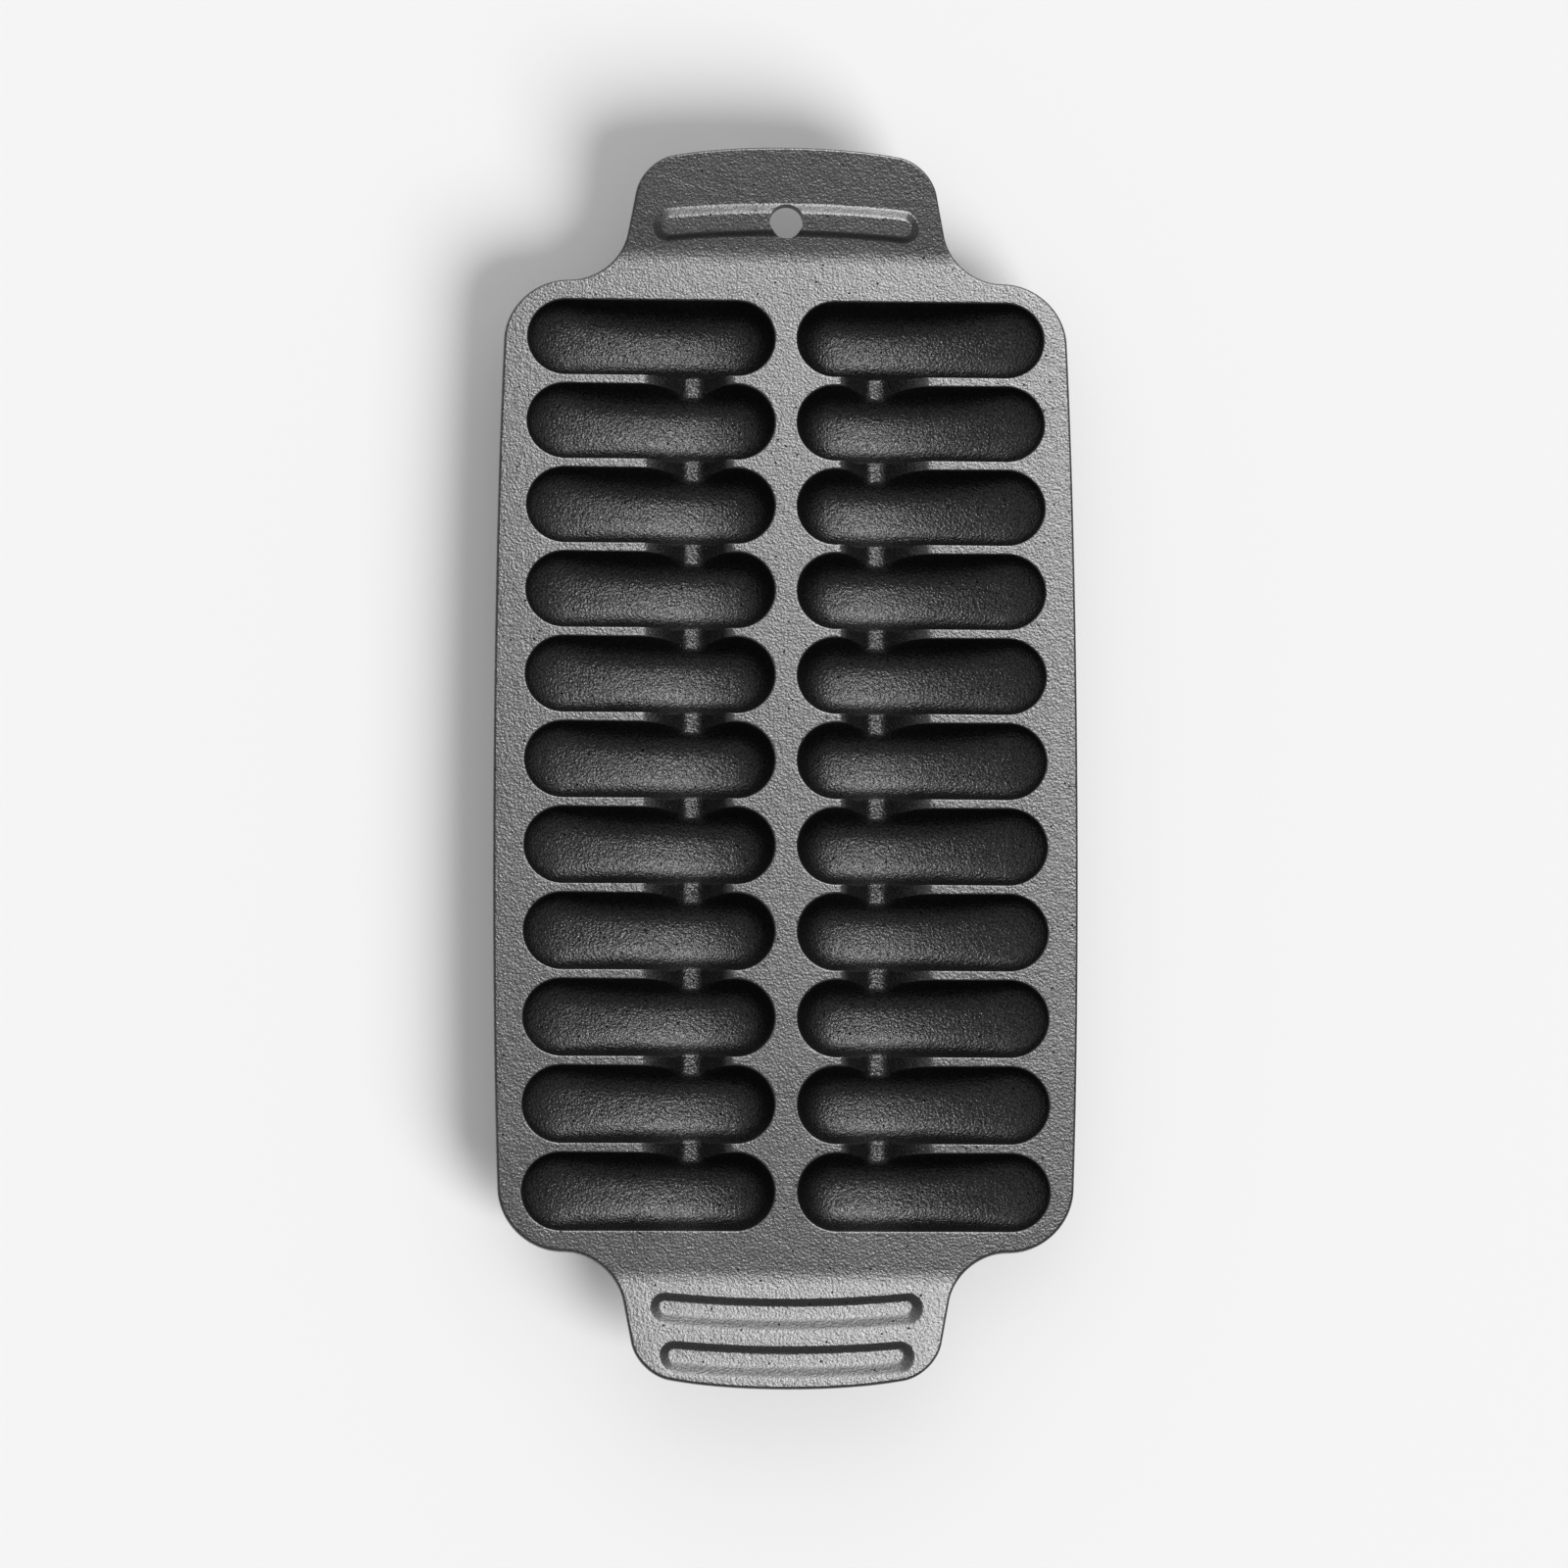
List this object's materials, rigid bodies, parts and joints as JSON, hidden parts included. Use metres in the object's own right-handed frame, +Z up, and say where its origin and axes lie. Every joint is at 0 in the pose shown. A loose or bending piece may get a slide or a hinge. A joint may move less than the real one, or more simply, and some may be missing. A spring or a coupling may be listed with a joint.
{
  "type": "shrimp grill pan",
  "caption": "Flat cast-iron grill pan with columns of long curved cavities joined by notches, and a raised handle at each end, one with a hanging hole.",
  "frame": {"origin": "centre of the pan, on the level of the pads it stands on", "axes": "+X across the pan, +Y along it towards the handle with the hanging hole, +Z up"},
  "size_m": [0.189, 0.4042, 0.027],
  "materials": {
    "seasoned_cast_iron": "seasoned, as cast"
  },
  "bodies": {
    "root": {"pan_casting": "seasoned_cast_iron"}
  },
  "joints": []
}
